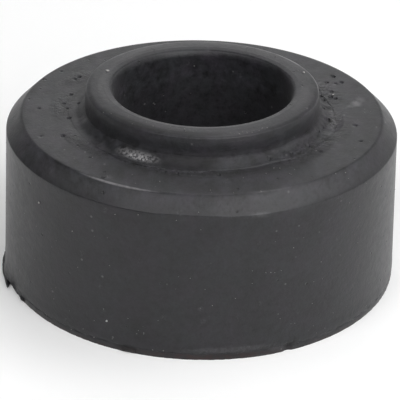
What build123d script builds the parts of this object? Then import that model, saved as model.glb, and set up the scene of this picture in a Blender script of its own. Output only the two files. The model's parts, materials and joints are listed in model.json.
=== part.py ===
from build123d import *
import os
from math import cos, radians, sin, tan

# A stabilizer bar bushing, moulded in one piece from black rubber.
# It stands on its base with the bore upright. The origin is where the bore's
# axis meets the base face, and +Z points to the spigot.
# Lengths are in millimetres and angles in degrees.

# Body: a short drum that widens towards its base, as it left the mould
parting_diameter = 36.0
parting_height = 0.5
base_inset = 0.1
side_draft = 1.8
shoulder_height = 15.0
shoulder_chamfer = 1.35
shoulder_edge_round = 0.15

# Spigot: the low collar that locates in the hole of the bar or bracket
spigot_diameter = 21.0
spigot_height = 2.5
rim_round = 0.4

# Flare: the low raised ring round the spigot's root, where the mould's insert ended
flare_width = 1.5
flare_step = 0.2
flare_slope = 9.0
flare_root_round = 0.15
flare_edge_bevel = 0.1

# Bore: takes the spacer sleeve, with the same dished mouth at both ends
bore_diameter = 16.0
mouth_width = 0.75
mouth_depth = 0.12
mouth_bevel = 0.35

# Flash: torn remnants of the thin film at the parting line.
# Each has the angle where it starts, the angle it covers and how far it stands out.
flash_root = 0.3
flash_tip = 0.12
long_flash = (183.5, 20.0, 0.35)
short_flash = (209.5, 3.5, 0.25)
front_flash = (249.0, 4.5, 0.15)

# Worked out from the sizes above
parting_radius = parting_diameter / 2
side_height = shoulder_height - shoulder_chamfer
side_top_radius = parting_radius - (side_height - parting_height) * tan(radians(side_draft))
shoulder_radius = side_top_radius - shoulder_chamfer
spigot_radius = spigot_diameter / 2
flare_radius = spigot_radius + flare_width
bore_radius = bore_diameter / 2
mouth_radius = bore_radius + mouth_width
flare_edge_height = shoulder_height + flare_step
flare_top_height = flare_edge_height + flare_width * tan(radians(flare_slope))
total_height = shoulder_height + spigot_height


def corner(radius, height):
    """The corner of the half section that stands at this radius and height."""
    return vertices().sort_by_distance((radius, height))[0]


with BuildPart() as rubber_bushing:
    # Half of the section, right of the bore's axis, turned once round it
    with BuildSketch(Plane.XZ):
        with BuildLine():
            Polyline(
                (bore_radius, mouth_depth),
                (mouth_radius, 0),
                (parting_radius - base_inset, 0),
                (parting_radius, parting_height),
                (side_top_radius, side_height),
                (shoulder_radius, shoulder_height),
                (flare_radius, shoulder_height),
                (flare_radius, flare_edge_height),
                (spigot_radius, flare_top_height),
                (spigot_radius, total_height),
                (mouth_radius, total_height),
                (bore_radius, total_height - mouth_depth),
                close=True,
            )
        make_face()
        # The edges of the bore at both of its mouths, and the flare's outer edge
        chamfer(corner(bore_radius, mouth_depth), mouth_bevel)
        chamfer(corner(bore_radius, total_height - mouth_depth), mouth_bevel)
        chamfer(corner(flare_radius, flare_edge_height), flare_edge_bevel)
        # The rim's outer edge, and the hollow where the spigot's wall meets the flare
        fillet(corner(spigot_radius, total_height), rim_round)
        fillet(corner(spigot_radius, flare_top_height), flare_root_round)
        # The shoulder's soft outer edge; the mould left the chamfer's lower edge crisp
        fillet(corner(shoulder_radius, shoulder_height), shoulder_edge_round)
    revolve(axis=Axis.Z)

    # The flash remnants, each a short fin that thins outwards
    for start, sweep_angle, reach in (long_flash, short_flash, front_flash):
        outwards = (cos(radians(start)), sin(radians(start)), 0)
        across = (sin(radians(start)), -cos(radians(start)), 0)
        with BuildSketch(Plane((0, 0, 0), x_dir=outwards, z_dir=across)):
            with BuildLine():
                Polyline(
                    (parting_radius - flash_root, parting_height - flash_root / 2),
                    (parting_radius + reach, parting_height - flash_tip / 2),
                    (parting_radius + reach, parting_height + flash_tip / 2),
                    (parting_radius - flash_root, parting_height + flash_root / 2),
                    close=True,
                )
            make_face()
        revolve(axis=Axis.Z, revolution_arc=sweep_angle)

os.makedirs("parts", exist_ok=True)
rubber_bushing.part.label = "rubber_bushing"
export_step(rubber_bushing.part, "parts/rubber_bushing.step")
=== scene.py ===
import json
import random
from math import atan2, cos, degrees, hypot, radians, sin, tan

import bmesh
import bpy
import numpy as np
from mathutils import Matrix, Vector


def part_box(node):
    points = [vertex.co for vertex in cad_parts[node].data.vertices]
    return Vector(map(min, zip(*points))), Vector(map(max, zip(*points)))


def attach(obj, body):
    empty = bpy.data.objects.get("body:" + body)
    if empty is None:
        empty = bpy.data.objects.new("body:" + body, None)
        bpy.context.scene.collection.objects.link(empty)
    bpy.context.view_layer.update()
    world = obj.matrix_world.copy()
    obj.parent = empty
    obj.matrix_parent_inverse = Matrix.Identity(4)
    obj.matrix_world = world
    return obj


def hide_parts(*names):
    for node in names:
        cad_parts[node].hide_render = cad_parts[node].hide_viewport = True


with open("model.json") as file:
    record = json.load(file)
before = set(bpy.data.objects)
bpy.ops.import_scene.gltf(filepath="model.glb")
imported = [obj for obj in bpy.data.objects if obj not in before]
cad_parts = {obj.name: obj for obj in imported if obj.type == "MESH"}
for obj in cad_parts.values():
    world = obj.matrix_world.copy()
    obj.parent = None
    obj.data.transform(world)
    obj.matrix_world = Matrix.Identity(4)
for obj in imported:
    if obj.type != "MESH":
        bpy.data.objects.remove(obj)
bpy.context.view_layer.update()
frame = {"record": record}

# Units
MM = 0.001
UP = Vector((0, 0, 1))
random.seed(7)

# Sizes that the frame gives
_, cad_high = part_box("rubber_bushing")
mounts = {mount["name"]: mount for mount in frame["record"]["mounts"]}
bore_radius = mounts["bore"]["dims"]["r_mm"] * MM
spigot_radius = mounts["spigot"]["dims"]["r_mm"] * MM
body_radius = cad_high.x
shoulder_height = mounts["shoulder"]["pos_m"][2]
total_height = cad_high.z

# Steps round the bore
ring_steps = 400

# Sizes of the moulded section
# The bore's mouths: a dished ring that falls into the bore over a rounded lip
mouth_width = 0.75 * MM
mouth_depth = 0.08 * MM
mouth_lip = 0.22 * MM
mouth_drop = 0.55 * MM
mouth_round = 0.19 * MM
# The fine line round the upper mouth
mouth_line = 0.05 * MM
mouth_line_height = 0.004 * MM
# The foot and the lip at the parting line, with a groove and a bead above it
foot_inset = 0.03 * MM
foot_height = 0.07 * MM
lip_height = 0.42 * MM
groove_height = 0.6 * MM
groove_depth = 0.01 * MM
groove_round = 0.02 * MM
bead_height = 0.98 * MM
bead_proud = 0.03 * MM
bead_round = 0.245 * MM
bead_top = 1.5 * MM
# The drafted side, the chamfer, and the margin kept beside each of the chamfer's edges
side_draft = radians(1.8)
draft_start = 0.5 * MM
chamfer_size = 1.35 * MM
edge_round = 0.16 * MM
chamfer_edge_round = 0.06 * MM
edge_margin = 0.4 * MM
# The shallow hollow round the flare
moat_width = 0.8 * MM
moat_depth = 0.015 * MM
moat_step = 0.05 * MM
moat_round = 0.1 * MM
# The flare round the spigot's root
flare_radius = spigot_radius + 1.5 * MM
flare_step = 0.11 * MM
flare_slope = radians(11.5)
flare_edge_round = 0.09 * MM
# The spigot's wall, which leans in above its straight part, and the crowned rim
spigot_taper = 0.1 * MM
spigot_straight = 1.5 * MM
spigot_turn_round = 0.25 * MM
rim_round = 0.1 * MM
rim_fall = 0.17 * MM
rim_turn_inset = 0.42 * MM
rim_turn_fall = 0.045 * MM
rim_turn_round = 0.16 * MM
crown_radius = 9.4 * MM
crown_round = 0.25 * MM


def side_radius(height):
    """The radius of the drafted side at this height."""
    return body_radius - (height - draft_start) * tan(side_draft)


def section_corners():
    """The corners of the half section by name, from the lower mouth outwards and round to the bore."""
    side_top = shoulder_height - chamfer_size
    shoulder_radius = side_radius(side_top) - chamfer_size
    flare_edge = shoulder_height + flare_step
    flare_top = flare_edge + (flare_radius - spigot_radius) * tan(flare_slope)
    mouth_radius = bore_radius + mouth_width
    return {
        "lower_mouth": (mouth_radius, 0),
        "foot": (body_radius - foot_inset, 0),
        "foot_side": (body_radius - foot_inset / 2, foot_height),
        "lip": (body_radius, lip_height),
        "groove": (body_radius - groove_depth, groove_height),
        "bead": (side_radius(bead_height) + bead_proud, bead_height),
        "bead_top": (side_radius(bead_top), bead_top),
        "side_margin": (side_radius(side_top - edge_margin), side_top - edge_margin),
        "side_top": (side_radius(side_top), side_top),
        "shoulder_edge": (shoulder_radius, shoulder_height),
        "shoulder_margin": (shoulder_radius - edge_margin, shoulder_height),
        "moat_rim": (flare_radius + moat_width, shoulder_height),
        "moat": (flare_radius + moat_step, shoulder_height - moat_depth),
        "flare_edge": (flare_radius, flare_edge),
        "flare_root": (spigot_radius, flare_top),
        "spigot": (spigot_radius, shoulder_height + spigot_straight),
        "rim_edge": (spigot_radius - spigot_taper, total_height - rim_fall),
        "rim_turn": (spigot_radius - rim_turn_inset, total_height - rim_turn_fall),
        "crown": (crown_radius, total_height),
        "rim_margin": (mouth_radius + mouth_line * 2, total_height),
        "mouth_line": (mouth_radius + mouth_line, total_height + mouth_line_height),
        "mouth": (mouth_radius, total_height - mouth_line_height),
        "mouth_edge": (bore_radius + mouth_lip, total_height - mouth_depth),
        "bore_top": (bore_radius, total_height - mouth_drop),
        "bore_bottom": (bore_radius, mouth_drop),
        "bore_foot": (bore_radius + mouth_lip, mouth_depth),
    }


# Selecting and shaping in edit mode
def start_editing(piece):
    bpy.ops.object.select_all(action="DESELECT")
    piece.select_set(True)
    bpy.context.view_layer.objects.active = piece
    bpy.ops.object.mode_set(mode="EDIT")


def stop_editing():
    bpy.ops.object.mode_set(mode="OBJECT")


def edit_mesh():
    return bmesh.from_edit_mesh(bpy.context.edit_object.data)


def radius_of(point):
    return hypot(point.x, point.y)


def angle_of(point):
    """The angle round the bore from +X, in degrees from -180 to 180."""
    return degrees(atan2(point.y, point.x))


def angle_between(first, second):
    """How far apart two angles in degrees are, the short way round."""
    return abs((first - second + 180) % 360 - 180)


def outwards(angle):
    """The level direction away from the bore's axis at this angle in degrees."""
    return Vector((cos(radians(angle)), sin(radians(angle)), 0))


def at_angle(radius, angle, height):
    """The point at this radius, angle in degrees, and height."""
    return outwards(angle) * radius + UP * height


def start_selection(kind):
    """Deselects everything, and gives the mesh for a new selection of this kind."""
    bpy.ops.mesh.select_mode(type=kind)
    bpy.ops.mesh.select_all(action="DESELECT")
    return edit_mesh()


def show_selection():
    bmesh.update_edit_mesh(bpy.context.edit_object.data)


def select_edges(wanted):
    for edge in start_selection("EDGE").edges:
        if not edge.hide and wanted(edge):
            edge.select_set(True)
    show_selection()


def select_faces(wanted):
    for face in start_selection("FACE").faces:
        if not face.hide and wanted(face.calc_center_median()):
            face.select_set(True)
    show_selection()


def select_points(wanted):
    for vert in start_selection("VERT").verts:
        if not vert.hide and wanted(vert.co):
            vert.select_set(True)
    show_selection()


def show_only(radii, heights):
    """Hides the faces whose middle lies outside this range of radius and of height."""
    def wanted(point):
        return radii[0] < radius_of(point) < radii[1] and heights[0] < point.z < heights[1]
    select_faces(wanted)
    bpy.ops.mesh.hide(unselected=True)


def on_ring(edge, corner):
    """Whether the edge lies along the ring at this corner of the section."""
    radius, height = corner
    near = 0.004 * MM
    return all(
        abs(radius_of(vert.co) - radius) < near and abs(vert.co.z - height) < near
        for vert in edge.verts
    )


def round_ring(corner, size, segments):
    """Bevels the ring at this corner of the section."""
    select_edges(lambda edge: on_ring(edge, corner))
    bpy.ops.mesh.bevel(offset=size, segments=segments, profile=0.5, affect="EDGES")


def runs_down_section(edge):
    """Whether the edge goes from ring to ring, not along one."""
    low, high = (vert.co for vert in edge.verts)
    along = outwards(angle_of((low + high) / 2) + 90)
    return abs((high - low).dot(along)) < 0.3 * (high - low).length


def add_rings(radii, heights, cuts):
    """Cuts the faces whose middle lies in this range of radius and of height into more rings."""
    def wanted(edge):
        middle = (edge.verts[0].co + edge.verts[1].co) / 2
        inside = radii[0] < radius_of(middle) < radii[1] and heights[0] < middle.z < heights[1]
        return inside and runs_down_section(edge)
    select_edges(wanted)
    bpy.ops.mesh.subdivide(number_cuts=cuts)


def turn_section(corners):
    """The plain moulded form: the first corner's ring, extruded from corner to corner and closed."""
    (radius, height), *others = corners.values()
    bpy.ops.object.select_all(action="DESELECT")
    bpy.ops.mesh.primitive_circle_add(vertices=ring_steps, radius=radius, fill_type="NOTHING")
    piece = bpy.context.object
    piece.name = "bushing_rubber"
    start_editing(piece)
    bpy.ops.mesh.select_all(action="SELECT")
    for next_radius, next_height in others:
        rise = UP * (next_height - height)
        bpy.ops.mesh.extrude_region_move(TRANSFORM_OT_translate={"value": rise})
        grow = next_radius / radius
        bpy.ops.transform.resize(value=(grow, grow, 1), center_override=(0, 0, next_height))
        radius, height = next_radius, next_height
    select_edges(lambda edge: len(edge.link_faces) == 1)
    bpy.ops.mesh.bridge_edge_loops()
    bpy.ops.mesh.select_all(action="SELECT")
    bpy.ops.mesh.normals_make_consistent(inside=False)
    stop_editing()
    return piece


def soften_corners(corners):
    """Rounds the corners of the section as the mould did."""
    round_ring(corners["side_top"], chamfer_edge_round, 3)
    round_ring(corners["shoulder_edge"], edge_round, 4)
    round_ring(corners["flare_edge"], flare_edge_round, 3)
    round_ring(corners["moat"], moat_round, 3)
    round_ring(corners["spigot"], spigot_turn_round, 3)
    round_ring(corners["rim_edge"], rim_round, 4)
    round_ring(corners["rim_turn"], rim_turn_round, 4)
    round_ring(corners["crown"], crown_round, 3)
    round_ring(corners["mouth_edge"], mouth_round, 6)
    round_ring(corners["bore_top"], mouth_round, 4)
    round_ring(corners["bore_foot"], mouth_round, 6)
    round_ring(corners["bore_bottom"], mouth_round, 4)
    round_ring(corners["groove"], groove_round, 3)
    round_ring(corners["bead"], bead_round, 4)


def add_all_rings(corners):
    """Cuts each wide face of the section into rings that are fine enough for what is shaped on it."""
    shoulder_radius = corners["shoulder_edge"][0]
    side_top = shoulder_height - chamfer_size
    mouth_radius = bore_radius + mouth_width
    moat_edge = flare_radius + moat_width
    above_flare = (shoulder_height + 0.1 * MM, total_height)
    above_shoulder = (shoulder_height - 0.1 * MM, total_height)
    on_chamfer = (side_top + 0.3 * MM, shoulder_height - 0.3 * MM)
    on_rim = (total_height - 0.01 * MM, total_height + 0.01 * MM)
    on_spigot = (shoulder_height + 0.6 * MM, shoulder_height + 1.1 * MM)
    add_rings((spigot_radius + 0.1 * MM, flare_radius - flare_edge_round), above_flare, 7)
    add_rings((flare_radius + moat_step, moat_edge), above_shoulder, 4)
    add_rings((moat_edge, shoulder_radius - edge_margin), above_shoulder, 11)
    add_rings((shoulder_radius, side_radius(0)), on_chamfer, 7)
    add_rings((mouth_radius + mouth_line * 2, crown_radius - crown_round), on_rim, 2)
    add_rings((spigot_radius - 0.3 * MM, spigot_radius + 0.1 * MM), on_spigot, 5)
    add_rings((side_radius(14 * MM), body_radius), (bead_top + 0.1 * MM, side_top - edge_margin), 19)
    add_rings((bore_radius - 0.1 * MM, bore_radius + 0.1 * MM), (1 * MM, total_height - 1 * MM), 11)
    add_rings((mouth_radius + 0.1 * MM, body_radius - 0.3 * MM), (-0.1 * MM, 0.1 * MM), 3)


# Shaping by hand
def pull(value, size, falloff="SMOOTH"):
    """Moves the selected points, and those that show round them less and less out to this distance."""
    bpy.ops.transform.translate(
        value=value, use_proportional_edit=True, proportional_edit_falloff=falloff, proportional_size=size
    )


def select_arc(radii, heights, angle, half_width):
    """Selects the points in this range of radius and height, and within half_width of the angle."""
    def wanted(point):
        inside = radii[0] < radius_of(point) < radii[1] and heights[0] < point.z < heights[1]
        return inside and angle_between(angle_of(point), angle) < half_width
    select_points(wanted)


# The flare was pressed out unevenly. Each stretch has the angle of its middle and its half width in
# degrees, and fades into the next one over the size given before its list.
# How far the flare's edge stands out, in millimetres:
edge_fade = 1.6 * MM
edge_reaches = [
    (-157, 9, -0.15),
    (-119, 6, 0.2),
    (-99, 6.5, 0.12),
    (-77, 7.5, -0.2),
    (-58.5, 3.5, -0.3),
    (-44, 3, 0.1),
    (-18, 6, 0.15),
    (1, 4, -0.2),
    (16, 4, -0.4),
    (35, 7, -0.1),
    (95, 20, 0.1),
    (168, 8, -0.1),
]
# How high the edge stands, as a share of its usual height:
height_fade = 0.9 * MM
edge_heights = [
    (-175.5, 34.5, 0.15),
    (-134, 2.5, 0.5),
    (-120, 7, 1.2),
    (-87.5, 17.4, 0.52),
    (-60.3, 5.5, 0.62),
    (-46, 4.5, 0.55),
    (-31, 6.2, 0.5),
    (-15, 5.5, 0.5),
    (0, 5, 0.4),
    (13, 4, 0.25),
    (35, 14.5, 0.15),
    (100, 46, 0.2),
]
# How much the flare's root is lifted, in millimetres:
root_fade = 1.0 * MM
root_lifts = [
    (-150, 11, 0.08),
    (-130, 3.5, 0.24),
    (-115.5, 5.5, 0.18),
    (-86.7, 18.5, 0.24),
    (-57, 6.2, 0.15),
    (-35, 10.9, 0.24),
    (-10, 9.2, 0.2),
    (14, 9.9, 0.1),
]


def shape_flare():
    """Makes the flare as uneven as it was pressed."""
    low = shoulder_height - 0.2 * MM
    below_rim = total_height - 0.8 * MM
    heights = (low, total_height)
    edge_zone = (flare_radius - 0.15 * MM, flare_radius + 0.15 * MM)
    height_zone = (flare_radius - 0.7 * MM, flare_radius + 0.5 * MM)
    root_zone = (spigot_radius - 0.1 * MM, spigot_radius + 0.35 * MM)
    show_only((spigot_radius + 0.3 * MM, flare_radius + moat_width + 0.6 * MM), (low, below_rim))
    for angle, half_width, reach in edge_reaches:
        select_arc(edge_zone, heights, angle, half_width)
        pull(outwards(angle) * reach * MM, edge_fade)
    for angle, half_width, share in edge_heights:
        select_arc(height_zone, heights, angle, half_width)
        bpy.ops.transform.resize(
            value=(1, 1, share), center_override=(0, 0, shoulder_height),
            use_proportional_edit=True, proportional_edit_falloff="SMOOTH", proportional_size=height_fade
        )
    bpy.ops.mesh.reveal(select=False)
    show_only((spigot_radius - 0.1 * MM, flare_radius), (shoulder_height + flare_step * 0.3, below_rim))
    for angle, half_width, lift in root_lifts:
        select_arc(root_zone, heights, angle, half_width)
        pull(UP * lift * MM, root_fade)
    bpy.ops.mesh.reveal(select=False)


# Wrinkled patches beside the spigot: the range of radius in millimetres and of angle in degrees of each,
# and how rough it is in millimetres
wrinkled_patches = [
    ((10.8, 12.4), (-133, -104), 0.008),
    ((12.1, 12.95), (-118, -60), 0.008),
    ((11.0, 13.6), (-60, 8), 0.012),
    ((11.2, 13.4), (8, 40), 0.015),
]


def wrinkle_patches():
    """Roughens the patches, then cuts them finer and smooths them over."""
    for seed, (radii, angles, rough) in enumerate(wrinkled_patches):
        def wanted(point):
            in_ring = radii[0] * MM < radius_of(point) < radii[1] * MM
            in_arc = angles[0] < angle_of(point) < angles[1]
            return in_ring and in_arc and abs(point.z - shoulder_height) < 0.7 * MM
        select_points(wanted)
        bpy.ops.transform.vertex_random(offset=rough * MM, uniform=0.0, normal=1.0, seed=seed + 3)
        select_faces(wanted)
        bpy.ops.mesh.subdivide(number_cuts=1, smoothness=0.7)


# Pits in the shoulder and the flare: radius and size in millimetres, and angle in degrees
shoulder_pits = [
    (12.0, -169.6, 0.13),
    (13.4, -154.5, 0.15),
    (12.5, 176, 0.13),
    (12.32, 166.5, 0.13),
    (12.12, -179, 0.1),
    (11.2, 175.6, 0.12),
    (13.35, 149.5, 0.16),
    (13.41, 152, 0.12),
    (14.65, -179, 0.12),
    (15.2, -157, 0.1),
    (15.5, 149, 0.12),
    (16.0, 157.6, 0.1),
    (13.63, -133.9, 0.1),
    (15.76, -121, 0.13),
    (14.77, 34, 0.17),
    (13.4, 30.7, 0.16),
    (14.69, 28.3, 0.18),
    (14.04, 28.4, 0.11),
    (12.84, 22.3, 0.16),
    (12.28, 17.2, 0.18),
    (12.63, 15.4, 0.14),
    (11.4, 18.6, 0.17),
    (11.38, 14, 0.15),
    (10.93, 2.6, 0.15),
    (11.32, -8.3, 0.2),
    (11.18, -17.4, 0.13),
    (11.03, -22.5, 0.18),
    (11.9, -11.5, 0.11),
    (11.54, -36.3, 0.13),
    (12.8, -36.4, 0.13),
    (11.26, -59, 0.13),
    (13.86, -9.5, 0.14),
    (15.0, -21.3, 0.12),
    (12.6, -83, 0.12),
    (12.7, -99, 0.1),
    (12.6, -104, 0.12),
]
# As shares of a pit's size: how far round it the faces are cut finer, the half width of its bottom, its
# depth, and the width of its rounded wall
pit_zone = 2.2
pit_bottom = 0.45
pit_depth = 0.85
pit_wall = 0.95
# How many times longer its bottom is from front to back than across
pit_stretch = 2.4


def near_ring_point(point, radius, angle, reach, stretch=1.0):
    """Whether the point is within reach of the place, seen from above, and stretch times that along Y."""
    place = outwards(angle) * radius
    return hypot(point.x - place.x, (point.y - place.y) / stretch) < reach


def sink_pits():
    """Cuts the faces round each pit finer and presses the pit in."""
    low = shoulder_height - 0.3 * MM

    def by_a_pit(point):
        if point.z < low or radius_of(point) < spigot_radius + 0.1 * MM:
            return False
        return any(
            near_ring_point(point, radius * MM, angle, size * pit_zone * MM)
            for radius, angle, size in shoulder_pits
        )
    select_faces(by_a_pit)
    bpy.ops.mesh.subdivide(number_cuts=2)
    for radius, angle, size in shoulder_pits:
        def in_bottom(point):
            reach = size * pit_bottom * MM
            return point.z > low and near_ring_point(point, radius * MM, angle, reach, pit_stretch)
        select_points(in_bottom)
        pull(UP * -size * pit_depth * MM, size * pit_wall * MM, "SPHERE")


# Flash: torn remnants of the film at the parting line. Each has the angles of its ends, in millimetres how
# far it stands out, and where and how much more it is drawn out, with the distance over which that fades.
flash_pieces = [
    (-178.6, -161.4, 0.06, -166, 0.37, 4.6),
    (-157.4, -153.6, 0.08, -155.5, 0.04, 1.5),
    (-153.2, -149.4, 0.06, -150.4, 0.16, 0.6),
    (-110.7, -106.9, 0.12, -109.5, 0.08, 0.6),
    (-76, -69, 0.04, -70, 0.03, 0.8),
]
flash_height = 0.25 * MM
flash_thinning = 0.35
# A piece is drawn out from its points within this many degrees of its peak
peak_half_width = 0.7

# The long flash's torn end: how far it is drawn out, and how far it is bent along the lip
torn_end = -161.8
torn_end_reach = 0.22 * MM
torn_end_bend = 1.1 * MM
torn_end_fade = 1.0 * MM

# A notch in the foot: its angle and half width in degrees, its depth, and the distance over which it fades
notch_angle = -64.0
notch_half_width = 1.0
notch_depth = 0.16 * MM
notch_fade = 0.4 * MM

# How far the lip's points are moved, each another way
lip_raggedness = 0.025 * MM

# The side bulges above the long flash. From each height to the next, this share of the bulge's reach:
bulge_ends = (-178.6, -158.2)
bulge_peak = -163.4
bulge_reach = 0.33 * MM
bulge_fade = 3.4 * MM
bulge_bands = [
    (0.38, 0.5, 1.0),
    (0.5, 0.62, 0.9),
    (0.62, 0.8, 0.75),
    (0.8, 1.0, 0.5),
    (1.0, 1.25, 0.25),
    (1.25, 1.55, 0.1),
]

# Where the chamfer's lower edge runs a little higher: the angle and half width in degrees, and the lift
edge_lift_angle = -92
edge_lift_half_width = 4
edge_lift = 0.12 * MM
edge_lift_fade = 2.4 * MM


def on_lip(point):
    return point.z < 0.7 * MM and radius_of(point) > body_radius - 0.12 * MM


def select_peak(angle):
    """Selects the points that show close to this angle in degrees."""
    select_points(lambda point: angle_between(angle_of(point), angle) < peak_half_width)


def lift_chamfer_edge(corners):
    """Lifts the chamfer's lower edge a little at the front."""
    edge_radius, edge_height = corners["side_top"]
    radii = (edge_radius - 0.15 * MM, edge_radius + 0.1 * MM)
    heights = (edge_height - 0.15 * MM, edge_height + 0.15 * MM)
    select_arc(radii, heights, edge_lift_angle, edge_lift_half_width)
    pull(UP * edge_lift, edge_lift_fade)


def bulge_side():
    """Draws the side above the long flash out a little, less and less upwards."""
    for low, high, share in bulge_bands:
        def in_band(point):
            on_side = abs(radius_of(point) - side_radius(point.z)) < 0.05 * MM
            in_arc = bulge_ends[0] < angle_of(point) < bulge_ends[1]
            return on_side and in_arc and low * MM < point.z <= high * MM
        select_points(in_band)
        bpy.ops.mesh.hide(unselected=True)
        select_peak(bulge_peak)
        pull(outwards(bulge_peak) * bulge_reach * share, bulge_fade)
        bpy.ops.mesh.reveal(select=False)


def bend_torn_end():
    """Draws the torn end of the long flash out, and bends it along the lip."""
    select_points(lambda point: point.z < lip_height and radius_of(point) > body_radius + 0.2 * MM)
    bpy.ops.mesh.hide(unselected=True)
    select_peak(torn_end)
    bend = outwards(torn_end) * torn_end_reach + outwards(torn_end + 90) * torn_end_bend
    pull(bend, torn_end_fade, "LINEAR")
    bpy.ops.mesh.reveal(select=False)


def notch_foot():
    """Presses a notch into the foot."""
    def in_notch(point):
        near = angle_between(angle_of(point), notch_angle) < notch_half_width
        return near and 0.03 * MM < point.z and on_lip(point)
    select_points(in_notch)
    pull(outwards(notch_angle) * -notch_depth, notch_fade)


def draw_flash():
    """Draws the flash out of the lip, and makes the lip a little ragged."""
    for start, end, reach, peak, more, fade in flash_pieces:
        def in_piece(point):
            in_arc = start < angle_of(point) < end
            return in_arc and on_lip(point) and foot_height < point.z < lip_height
        select_faces(in_piece)
        bpy.ops.mesh.extrude_region_move(TRANSFORM_OT_translate={"value": (0, 0, 0)})
        bpy.ops.transform.resize(value=(1, 1, flash_thinning), center_override=(0, 0, flash_height))
        grow = 1 + reach * MM / body_radius
        bpy.ops.transform.resize(value=(grow, grow, 1), center_override=(0, 0, flash_height))
        bpy.ops.mesh.hide(unselected=True)
        select_peak(peak)
        pull(outwards(peak) * more * MM, fade * MM, "LINEAR")
        bpy.ops.mesh.reveal(select=False)
    bend_torn_end()
    bulge_side()
    notch_foot()
    select_points(on_lip)
    bpy.ops.transform.vertex_random(offset=lip_raggedness, uniform=0.0, normal=0.3, seed=11)


# Faces that meet at less than this angle are shaded as one smooth surface
smooth_up_to = radians(50)

corners = section_corners()
bushing = turn_section(corners)
start_editing(bushing)
soften_corners(corners)
add_all_rings(corners)
shape_flare()
lift_chamfer_edge(corners)
wrinkle_patches()
sink_pits()
draw_flash()
stop_editing()
bpy.ops.object.shade_smooth_by_angle(angle=smooth_up_to)

# Marks of wear, handling and moulding, with painted light and painted shade among them. Each has the
# radius, the angle and the height of its middle, its half length round the bore, its half width across
# that, and its strength, in millimetres and degrees.
# Paler places: wear, with painted highlights and painted light
wear_and_light_marks = [
    # Painted highlights in places along the shoulder's edge and the chamfer's lower edge
    (16.23, -115.5, 14.98, 4.2, 0.14, 1.0),
    (16.23, -67, 14.98, 3.0, 0.12, 0.25),
    (16.2, -71.5, 14.99, 0.6, 0.14, 0.3),
    (17.58, -73.5, 13.65, 1.2, 0.1, 0.3),
    # The rim's outer edge, with painted highlights
    (10.38, 138, 17.35, 5.5, 0.14, 0.4),
    (10.38, 22, 17.35, 5.0, 0.16, 0.8),
    (10.33, 39, 17.37, 2.4, 0.3, 1.0),
    (10.38, 60, 17.37, 4.0, 0.16, 0.6),
    # The top of the rim, painted paler in places as painted light, with streaks at the back
    (8.6, -18.5, 17.45, 0.6, 0.2, 0.4),
    (8.75, 178, 17.45, 2.2, 0.3, 0.12),
    (8.95, -90, 17.5, 7.0, 0.65, 0.06),
    (9.0, 180, 17.5, 5.0, 0.5, 0.15),
    (9.2, -15, 17.5, 3.5, 0.6, 0.12),
    (9.4, 90, 17.5, 14.0, 1.2, 0.05),
    (9.25, 143, 17.5, 2.6, 0.2, 0.12),
    (9.55, 127, 17.5, 3.5, 0.22, 0.14),
    (9.95, 116, 17.47, 2.6, 0.18, 0.12),
    (9.75, 72, 17.49, 3.0, 0.2, 0.08),
    (9.7, 36, 17.48, 2.2, 0.4, 0.07),
    (9.85, -88, 17.44, 3.0, 0.1, 0.12),
    (9.95, -78, 17.46, 4.5, 0.45, 0.13),
    # The back of the bore's wall, painted paler as painted light
    (8.0, 90, 10.0, 25.0, 8.0, 0.04),
    # The chamfer, painted paler as painted light
    (16.95, -70, 14.3, 13.0, 1.3, 0.085),
    (16.95, -58, 14.3, 5.0, 0.9, 0.07),
    (16.95, -131, 14.3, 5.0, 0.9, 0.05),
    (16.95, -93, 14.3, 8.0, 1.2, 0.05),
    # Smears on the shoulder, and its left side painted paler as painted light
    (14.2, 9.5, 15.0, 0.75, 0.5, 0.6),
    (14.8, 12.5, 15.0, 0.7, 0.5, 0.3),
    (13.6, 7.5, 15.0, 0.4, 0.45, 0.25),
    (15.5, -120, 15.0, 0.5, 0.3, 0.2),
    (13.8, -170, 15.0, 7.0, 2.4, 0.03),
    # Painted highlights on the flare in front and on its edge on the right, and dust in the corner under
    # the spigot that also paints light into that shaded corner
    (11.5, -78, 15.3, 2.6, 0.9, 0.05),
    (11.75, -1, 15.15, 1.0, 0.25, 0.26),
    (11.95, -10, 15.12, 1.6, 0.28, 0.26),
    (12.1, -19, 15.1, 1.2, 0.25, 0.2),
    (10.55, -92, 15.6, 11.0, 0.55, 0.1),
    (10.55, -48, 15.6, 3.0, 0.5, 0.11),
    # A scratch on the side
    (17.76, -69.8, 8.1, 0.55, 0.09, 0.5),
    # A painted highlight on the bead above the parting line, and painted light on the torn lip
    (17.99, -81, 0.98, 4.5, 0.3, 0.12),
    (18.0, -67.5, 0.45, 0.8, 0.25, 0.12),
    (18.1, -155.6, 0.35, 1.2, 0.4, 0.14),
]
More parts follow.
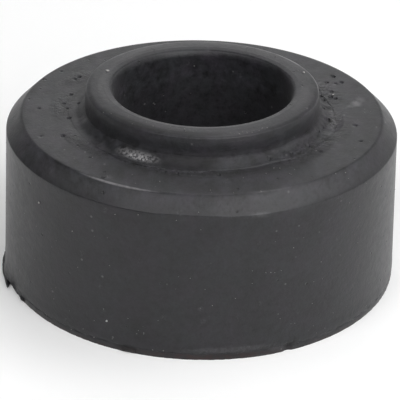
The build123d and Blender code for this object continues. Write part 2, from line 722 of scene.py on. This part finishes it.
# Darker and duller places, most of them painted shade
dull_and_shade_marks = [
    # The rim, darker and rougher in front and on the left
    (9.85, -96, 17.46, 4.5, 0.4, 0.55),
    (9.9, -126, 17.46, 5.0, 0.5, 0.8),
    # The flare, painted darker as painted shade
    (11.25, -96.5, 15.35, 3.4, 1.1, 0.75),
    (12.0, -78, 15.3, 3.2, 0.4, 0.45),
    (12.0, -38, 15.2, 2.6, 0.35, 0.45),
    # Painted shade in the hollow round the flare
    (12.45, -79, 14.99, 3.6, 0.35, 0.8),
    (12.7, -42, 15.0, 3.0, 0.9, 0.5),
    (12.8, -95, 14.98, 6.5, 0.5, 0.45),
    (12.8, -140, 14.98, 3.0, 0.5, 0.5),
    (12.8, -60, 14.98, 3.0, 0.5, 0.4),
    # Painted shade on the side on the left and over the scratch, and a dark speck
    (17.75, -143, 7.5, 9.0, 8.0, 0.25),
    (17.76, -70, 8.35, 0.5, 0.1, 0.6),
    (17.92, -40.2, 2.9, 0.15, 0.15, 0.7),
    # Painted shade on the flash and along the lip, and in its notch
    (18.4, -167, 0.25, 3.6, 0.3, 0.4),
    (18.1, -109.3, 0.4, 1.4, 0.38, 1.0),
    (18.0, -81.5, 0.36, 3.0, 0.22, 0.8),
    (17.95, -63.7, 0.55, 0.6, 0.5, 1.0),
    (17.95, -62.0, 0.9, 0.22, 0.5, 0.9),
    (17.95, -60.9, 0.9, 0.16, 0.4, 0.7),
    (17.99, -26.5, 0.9, 0.2, 0.2, 0.8),
    (18.0, -19, 0.4, 0.25, 0.2, 0.8),
]
# The flare's shiny patch on the left, with a painted glint
glossy_and_glint_marks = [
    (11.35, -119, 15.35, 2.5, 0.75, 0.5),
    (11.45, -118, 15.33, 1.7, 0.5, 1.0),
]
# The reddish stain along the foot, darkened in part as painted shade under the lip
stain_and_shade_marks = [
    (18.0, -88, 0.22, 9.0, 0.42, 1.0),
    (18.0, -110, 0.1, 22.0, 0.2, 0.8),
    (18.0, -66, 0.1, 14.0, 0.2, 0.8),
]
# The foot's notch and the bead, and then the patches round the flare
rough_marks = [
    (17.95, -63, 0.7, 0.9, 0.6, 0.7),
    (17.99, -81, 0.95, 5.0, 0.35, 0.6),
    (12.3, 22, 15.0, 2.6, 1.2, 0.7),
    (11.9, -8, 15.15, 2.6, 0.9, 0.9),
    (12.0, -38, 15.0, 4.5, 1.2, 0.8),
    (12.4, -92, 15.0, 6.5, 0.6, 0.4),
    (12.6, -145, 15.0, 4.0, 1.0, 0.45),
    (12.6, 176, 15.0, 3.5, 1.2, 0.5),
    (13.4, 150, 15.0, 2.0, 1.0, 0.5),
]


def paint(name, marks):
    """Stores how strongly each point of the rubber shows these marks, from 0 to 1."""
    points = np.empty(len(bushing.data.vertices) * 3)
    bushing.data.vertices.foreach_get("co", points)
    x, y, z = points.reshape(-1, 3).T / MM
    radii = np.hypot(x, y)
    angles = np.degrees(np.arctan2(y, x))
    strength = np.zeros(len(x))
    for radius, angle, height, half_length, half_width, amount in marks:
        along = np.radians((angles - angle + 180) % 360 - 180) * radius / half_length
        across = np.hypot(radii - radius, z - height) / half_width
        near = np.clip(1 - np.hypot(along, across), 0, 1)
        strength = np.maximum(strength, amount * np.clip(near * 2, 0, 1))
    layer = bushing.data.attributes.new(name, "FLOAT", "POINT")
    layer.data.foreach_set("value", strength)


# Wear with painted light, dull places with painted shade, a painted glint, roughness, and a stain with
# painted shade
paint("worn", wear_and_light_marks)
paint("dull", dull_and_shade_marks)
paint("glossy", glossy_and_glint_marks)
paint("rough", rough_marks)
paint("stained", stain_and_shade_marks)


# Materials
def add_node(tree, kind, inputs=None, **settings):
    """Adds a node. An input is either a value or the output of another node."""
    made = tree.nodes.new("ShaderNode" + kind)
    for name, value in settings.items():
        setattr(made, name, value)
    for name, value in (inputs or {}).items():
        if isinstance(value, bpy.types.NodeSocket):
            tree.links.new(value, made.inputs[name])
        else:
            made.inputs[name].default_value = value
    return made


def painted(tree, name):
    return add_node(tree, "Attribute", attribute_name=name).outputs["Fac"]


def maths(tree, operation, first, second):
    return add_node(tree, "Math", {0: first, 1: second}, operation=operation).outputs[0]


def remap(tree, value, low, high, new_low, new_high):
    """Maps the range from low to high onto the new one, and keeps within it."""
    inputs = {"Value": value, "From Min": low, "From Max": high, "To Min": new_low, "To Max": new_high}
    return add_node(tree, "MapRange", inputs).outputs["Result"]


def noise(tree, place, scale, detail=2.0, roughness=0.5):
    inputs = {"Vector": place, "Scale": scale, "Detail": detail, "Roughness": roughness}
    return add_node(tree, "TexNoise", inputs).outputs["Fac"]


def blend(tree, amount, first, second):
    """A colour between two others."""
    mixer = add_node(tree, "Mix", {0: amount, 6: first, 7: second}, data_type="RGBA")
    return mixer.outputs[2]


def dots(tree, place, scale, size, share):
    """1 in the middle of scattered dots. Size is their radius, and this share of the cells has one."""
    cells = add_node(tree, "TexVoronoi", {"Vector": place, "Scale": scale}, feature="F1")
    near = remap(tree, cells.outputs["Distance"], size * scale * 0.5, size * scale, 1.0, 0.0)
    lot = add_node(tree, "SeparateColor", {0: cells.outputs["Color"]}).outputs[0]
    chosen = maths(tree, "LESS_THAN", lot, share)
    return maths(tree, "MULTIPLY", near, chosen)


# The rubber's colours
cool_black = (0.0142, 0.0149, 0.0174, 1)
warm_black = (0.0158, 0.0142, 0.0184, 1)
# The pale grey of bloom, smudges, wear and painted highlights
bloom_and_highlight_grey = (0.16, 0.156, 0.163, 1)
# The near-black of painted shade and of dull places
shade_and_dull_black = (0.004, 0.004, 0.004, 1)
# The pale grey of a painted glint
painted_glint_grey = (0.25, 0.244, 0.25, 1)
# A dark reddish brown: stain, and painted shade under the lip
stain_and_shade_brown = (0.018, 0.0065, 0.006, 1)
# Painted shade in pores
pore_shade_black = (0.003, 0.003, 0.003, 1)
dust_grey = (0.13, 0.127, 0.129, 1)
# Patterns count in millimetres, and are drawn out from front to back
pattern_scale = (1000, 600, 1000)
# The heights in millimetres between which the side's finish and its painted shade turn into those of the
# top
top_finish_and_shade = (13.7, 14.7)
# And those between which the broad clouds grow fainter up the spigot's wall
faint_clouds = (15.5, 16.0)


def black_rubber():
    """Moulded black rubber: fine grain, a faint bloom in blotches, pale edges that are partly rubbed and
    partly painted highlights, painted shade, a painted glint and a little dust.
    """
    material = bpy.data.materials.new("black_rubber_moulded")
    material.use_nodes = True
    tree = material.node_tree
    shader = tree.nodes["Principled BSDF"]
    in_metres = add_node(tree, "TexCoord").outputs["Object"]
    place = add_node(tree, "Mapping", {"Vector": in_metres, "Scale": pattern_scale}).outputs["Vector"]
    height = add_node(tree, "SeparateXYZ", {0: place}).outputs["Z"]

    def add(first, second):
        return maths(tree, "ADD", first, second)

    def times(first, second):
        return maths(tree, "MULTIPLY", first, second)

    def spread(value, low, high, new_low, new_high):
        return remap(tree, value, low, high, new_low, new_high)

    worn, dull, glossy, rough = (painted(tree, name) for name in ("worn", "dull", "glossy", "rough"))
    stained = painted(tree, "stained")
    grain = noise(tree, place, 5.0, 3.0, 0.6)
    mottle = noise(tree, place, 1.6, 3.0, 0.55)
    blotch = noise(tree, place, 0.3, 2.0)
    tint = noise(tree, place, 0.55, 1.0)
    speck = noise(tree, place, 3.2, 2.0, 0.5)
    clouds = noise(tree, place, 0.85, 3.0, 0.6)
    sparkle = noise(tree, place, 4.6, 2.0, 0.6)
    holes = dots(tree, place, 0.8, 0.12, 0.6)
    smudges = dots(tree, place, 0.6, 0.34, 0.3)
    dust = dots(tree, place, 1.1, 0.13, 0.14)
    upper = spread(height, *top_finish_and_shade, 0.0, 1.0)

    # How dark or pale the rubber is from place to place
    shade = add(spread(grain, 0.3, 0.7, -0.25, 0.25), spread(mottle, 0.3, 0.7, -0.36, 0.36))
    shade = add(shade, spread(blotch, 0.3, 0.7, -0.2, 0.2))
    cloudy = times(upper, spread(height, *faint_clouds, 1.0, 0.4))
    shade = add(shade, times(spread(clouds, 0.3, 0.7, -0.6, 0.6), cloudy))
    shade = add(shade, times(spread(speck, 0.35, 0.65, -0.6, 0.6), rough))
    shade = maths(tree, "MAXIMUM", add(shade, 1.0), 0.1)
    # The side is painted darker than the top: painted shade
    shade = times(shade, spread(upper, 0.0, 1.0, 0.7, 0.95))
    base = blend(tree, spread(tint, 0.35, 0.65, 0.0, 1.0), cool_black, warm_black)
    scale = add_node(tree, "VectorMath", {0: base}, operation="SCALE")
    tree.links.new(shade, scale.inputs["Scale"])

    # Wear with painted highlights and painted light, painted shade, a painted glint, a stain with painted
    # shade, pores with painted shade, and dust on top of it
    # Paler wear, and painted highlights and painted light
    pale = times(worn, spread(speck, 0.25, 0.5, 0.5, 1.0))
    colour = blend(tree, pale, scale.outputs["Vector"], bloom_and_highlight_grey)
    # Painted shade, and darker dull places
    colour = blend(tree, times(dull, 0.75), colour, shade_and_dull_black)
    # A painted glint in speckles on the shiny patch
    painted_glint = times(glossy, spread(sparkle, 0.4, 0.56, 0.15, 1.0))
    colour = blend(tree, painted_glint, colour, painted_glint_grey)
    # A stain along the foot, partly painted shade under the lip
    stain_and_shade = times(stained, spread(mottle, 0.42, 0.58, 0.1, 0.9))
    colour = blend(tree, stain_and_shade, colour, stain_and_shade_brown)
    # Pores, darkened as painted shade inside them
    colour = blend(tree, times(holes, 0.7), colour, pore_shade_black)
    smudged = times(smudges, spread(grain, 0.45, 0.6, 0.0, 1.0))
    colour = blend(tree, times(smudged, 0.1), colour, bloom_and_highlight_grey)
    colour = blend(tree, times(dust, 0.45), colour, dust_grey)
    tree.links.new(colour, shader.inputs["Base Color"])

    finish = add(spread(mottle, 0.3, 0.7, 0.385, 0.485), times(dull, 0.2))
    finish = add(finish, times(upper, 0.025))
    finish = maths(tree, "SUBTRACT", finish, times(glossy, 0.22))
    tree.links.new(finish, shader.inputs["Roughness"])
    shader.inputs["Specular IOR Level"].default_value = 0.43
    shader.inputs["Sheen Weight"].default_value = 0.06
    shader.inputs["Sheen Roughness"].default_value = 0.5

    # The finest relief, in millimetres
    relief = add(times(grain, 0.014), times(mottle, 0.03))
    relief = maths(tree, "SUBTRACT", relief, times(holes, 0.05))
    relief = add(relief, times(times(speck, glossy), 0.22))
    lumps = add(times(speck, 0.08), times(mottle, 0.12))
    relief = add(relief, times(lumps, rough))
    bump = add_node(tree, "Bump", {"Height": relief, "Distance": MM, "Strength": 1.0})
    tree.links.new(bump.outputs["Normal"], shader.inputs["Normal"])
    return material


bushing.data.materials.append(black_rubber())

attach(bushing, "root")
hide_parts("rubber_bushing")

# Dust crumbs on the rubber: the radius, angle and height of each one's place, and half its width, in
# millimetres and degrees
crumb_places = [
    (17.93, -115.5, 2.6, 0.105),
    (17.66, -141.3, 11.2, 0.11),
    (17.6, -106.8, 13.36, 0.056),
    (17.61, -113.5, 12.95, 0.037),
    (9.07, 162.8, 17.5, 0.14),
    (9.78, 20.5, 17.45, 0.105),
    (9.4, 23.3, 17.5, 0.08),
    (9.5, -98.2, 17.5, 0.043),
    (8.0, 96, 15.9, 0.056),
    (8.0, 125, 12.6, 0.056),
    (8.0, 98, 13.1, 0.031),
    (10.33, -145.9, 17.3, 0.043),
    (12.68, 19, 15.0, 0.105),
    (11.64, -8.4, 15.2, 0.05),
    (12.48, -37.2, 15.0, 0.062),
    (12.96, -58.8, 15.0, 0.056),
    (13.74, -54.6, 15.0, 0.043),
    (14.05, -155.2, 15.0, 0.05),
    (12.25, -145.3, 15.0, 0.043),
    (15.4, -120.5, 15.0, 0.043),
    (14.4, -103.7, 15.0, 0.05),
    (15.43, -110.5, 15.0, 0.037),
    (16.15, -71.8, 15.0, 0.056),
    (15.9, -80, 15.0, 0.037),
    (16.5, -41.9, 14.7, 0.05),
    (16.3, -45.5, 14.9, 0.05),
    (16.9, -42.1, 14.3, 0.043),
    (17.59, -36.3, 13.43, 0.043),
    (17.37, -90.3, 13.9, 0.037),
    (17.62, -44, 12.5, 0.037),
    (17.7, -63.4, 10.0, 0.056),
    (17.76, -39.7, 8.1, 0.037),
    (17.75, -75.3, 8.45, 0.037),
    (17.79, -75.2, 7.25, 0.037),
    (17.77, -54.1, 7.9, 0.043),
    (17.82, -56.5, 6.2, 0.043),
    (17.76, -95.3, 8.0, 0.037),
    (17.8, -88.1, 6.9, 0.043),
    (17.6, -96.2, 13.25, 0.037),
    (17.62, -89.6, 12.5, 0.043),
    (17.94, -106.1, 2.35, 0.037),
    (17.95, -104.6, 2.1, 0.043),
    (18.0, -113.7, 1.0, 0.05),
    (17.96, -102, 0.7, 0.056),
    (17.96, -99, 0.75, 0.056),
    (17.96, -56, 1.8, 0.037),
    (18.0, -55, 1.0, 0.043),
    (17.94, -43.7, 2.3, 0.037),
    (17.89, -67.5, 3.9, 0.037),
    (17.91, -66.8, 3.4, 0.043),
    (17.93, -62.2, 2.6, 0.037),
    (17.75, -133.5, 8.5, 0.05),
    (17.7, -127.4, 10.1, 0.056),
    (17.76, -39.7, 8.1, 0.06),
    (18.0, -123.1, 1.05, 0.05),
    (18.0, -127.3, 0.5, 0.05),
    (17.97, -119.5, 0.6, 0.06),
    (17.95, -106.6, 2.0, 0.05),
    (17.95, -104.6, 2.2, 0.056),
    (18.0, -66.2, 0.35, 0.06),
    (17.77, -71.4, 8.1, 0.043),
    (17.77, -70, 8.05, 0.05),
    (17.77, -68.8, 7.97, 0.037),
    (10.0, -74, 17.47, 0.05),
    (10.1, -71.5, 17.45, 0.06),
    (9.95, -69.5, 17.47, 0.055),
    (10.05, -67.5, 17.46, 0.065),
    (10.15, -65, 17.44, 0.05),
    (9.95, -63.5, 17.47, 0.06),
    (10.1, -61, 17.45, 0.055),
    (9.9, -58.5, 17.48, 0.065),
    (10.0, -56, 17.47, 0.05),
    (9.2, -99, 17.5, 0.07),
]
# Crumbs larger than this are pale grit
grit_size = 0.1
# Finer crumbs: how many lie on the side, the shoulder and the rim, and their smallest and largest size
side_count = 110
shoulder_count = 70
rim_count = 60
faint_sizes = (0.024, 0.045)
# As shares of a crumb's size: how high its middle stands, its half widths, and how uneven it is
crumb_rise = 0.25
crumb_shape = (1.2, 0.9, 0.8)
crumb_unevenness = 0.3


def surface_at(radius, angle, height):
    """The point of the rubber at this place, and the way it faces there."""
    if radius < bore_radius + 0.1 * MM:
        start, way = UP * height, outwards(angle)
    elif height < shoulder_height - chamfer_size:
        start, way = at_angle(body_radius * 1.5, angle, height), -outwards(angle)
    else:
        start, way = at_angle(radius, angle, total_height * 1.5), -UP
    _, point, facing, _ = bushing.ray_cast(start, way)
    return point, facing


def crumb_material(name, darkest, palest):
    """Dry dust between these two shades of grey."""
    material = bpy.data.materials.new(name)
    material.use_nodes = True
    tree = material.node_tree
    shader = tree.nodes["Principled BSDF"]
    uneven = noise(tree, add_node(tree, "TexCoord").outputs["Object"], 900.0)
    first = (darkest, darkest * 0.98, darkest * 0.96, 1)
    second = (palest, palest * 0.98, palest * 0.96, 1)
    colour = blend(tree, remap(tree, uneven, 0.3, 0.7, 0.0, 1.0), first, second)
    tree.links.new(colour, shader.inputs["Base Color"])
    shader.inputs["Roughness"].default_value = 0.7
    return material


def faint_crumbs():
    """Finer crumbs anywhere on the side, the shoulder and the rim."""
    side = [(17.8, random.uniform(-180, 180), random.uniform(0.8, 13.2)) for _ in range(side_count)]
    shoulder = [(random.uniform(12.6, 16), random.uniform(-180, 180), 15.0) for _ in range(shoulder_count)]
    rim = [(random.uniform(8.9, 10.1), random.uniform(-180, 180), 17.5) for _ in range(rim_count)]
    return [(*place, random.uniform(*faint_sizes)) for place in side + shoulder + rim]


def scatter_crumbs():
    """Lays an uneven lump at each place, each turned another way and sunk a little into the rubber."""
    bpy.context.view_layer.update()
    bpy.ops.object.select_all(action="DESELECT")
    bpy.ops.mesh.primitive_ico_sphere_add(subdivisions=1, radius=0.5 * MM)
    piece = bpy.context.object
    piece.name = "dust_crumbs"
    piece.data.materials.append(crumb_material("grey_dust", 0.1, 0.2))
    piece.data.materials.append(crumb_material("pale_grit", 0.3, 0.42))
    start_editing(piece)
    bpy.ops.mesh.select_all(action="SELECT")
    bpy.ops.mesh.delete(type="VERT")
    for number, (radius, angle, height, size) in enumerate(crumb_places + faint_crumbs()):
        point, facing = surface_at(radius * MM, angle, height * MM)
        middle = point + facing * size * crumb_rise * MM
        bpy.ops.mesh.primitive_ico_sphere_add(subdivisions=1, radius=size * MM, location=middle)
        bpy.ops.transform.resize(value=crumb_shape, center_override=middle)
        bpy.ops.transform.rotate(value=angle + number, orient_axis="Z", center_override=middle)
        uneven = size * crumb_unevenness * MM
        bpy.ops.transform.vertex_random(offset=uneven, uniform=1.0, normal=0.5, seed=number)
        piece.active_material_index = 1 if size > grit_size else 0
        bpy.ops.object.material_slot_assign()
    stop_editing()
    return piece


crumbs = scatter_crumbs()
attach(crumbs, "root")

# Camera: at the photograph's angle, a little turned about its own axis
camera_place = Vector((-0.019, -155.96, 88.45)) * MM
camera_aim = Vector((-0.003, 0, 5.937)) * MM
camera_roll = radians(1.357)
camera_lens = 172.26
sensor_width = 36


def place_camera():
    data = bpy.data.cameras.new("photo_camera")
    data.lens = camera_lens
    data.sensor_width = sensor_width
    data.clip_start = 5 * MM
    data.clip_end = 5
    camera = bpy.data.objects.new("photo_camera", data)
    bpy.context.scene.collection.objects.link(camera)
    forward = (camera_aim - camera_place).normalized()
    right = forward.cross(UP).normalized()
    above = right.cross(forward)
    turned_right = right * cos(camera_roll) + above * sin(camera_roll)
    turned_above = above * cos(camera_roll) - right * sin(camera_roll)
    axes = Matrix((turned_right, turned_above, -forward)).transposed().to_4x4()
    camera.matrix_world = Matrix.Translation(camera_place) @ axes
    bpy.context.scene.camera = camera


place_camera()

# Floor and light
floor_size = 3.0
bpy.ops.object.select_all(action="DESELECT")
bpy.ops.mesh.primitive_plane_add(size=floor_size)
floor = bpy.context.object
floor.name = "floor"
paper = bpy.data.materials.new("white_paper")
paper.use_nodes = True
paper_shader = paper.node_tree.nodes["Principled BSDF"]
paper_shader.inputs["Base Color"].default_value = (0.96, 0.96, 0.96, 1)
paper_shader.inputs["Roughness"].default_value = 0.9
paper_shader.inputs["Emission Color"].default_value = (1, 1, 1, 1)
paper_shader.inputs["Emission Strength"].default_value = 0.05
floor.data.materials.append(paper)

# Soft panels round the object: each one's angle round it from +X and its angle above the level, both in
# degrees, and its power in watts
panel_distance = 0.5
panel_size = 0.22
panel_aim = Vector((0, 0, 10 * MM))
panels = [
    (0, 12, 0.152),
    (60, 12, 0.122),
    (90, 12, 0.122),
    (120, 12, 0.107),
    (300, 12, 0.111),
    (330, 12, 0.200),
    (30, 30, 0.203),
    (90, 30, 0.086),
    (180, 30, 0.131),
    (270, 30, 0.279),
    (300, 30, 0.691),
    (0, 50, 0.456),
    (90, 50, 0.218),
    (180, 50, 0.041),
    (225, 50, 0.600),
    (270, 50, 0.228),
    (315, 50, 0.506),
    (60, 70, 0.314),
    (300, 70, 0.110),
    (30, 5, 0.088),
    (90, 5, 0.059),
]


def add_panel(place, power):
    """Hangs a square soft light here that faces the object."""
    data = bpy.data.lights.new("panel", "AREA")
    data.shape = "RECTANGLE"
    data.size = panel_size
    data.size_y = panel_size
    data.energy = power
    light = bpy.data.objects.new("panel", data)
    bpy.context.scene.collection.objects.link(light)
    light.location = place
    light.rotation_euler = (panel_aim - place).to_track_quat("-Z", "Y").to_euler()


for angle, rise, power in panels:
    direction = outwards(angle) * cos(radians(rise)) + UP * sin(radians(rise))
    add_panel(panel_aim + direction * panel_distance, power)

world = bpy.data.worlds.new("studio")
bpy.context.scene.world = world
world.use_nodes = True
world.node_tree.nodes["Background"].inputs["Color"].default_value = (1, 1, 1, 1)
world.node_tree.nodes["Background"].inputs["Strength"].default_value = 0.0
bpy.context.scene.view_settings.view_transform = "Standard"
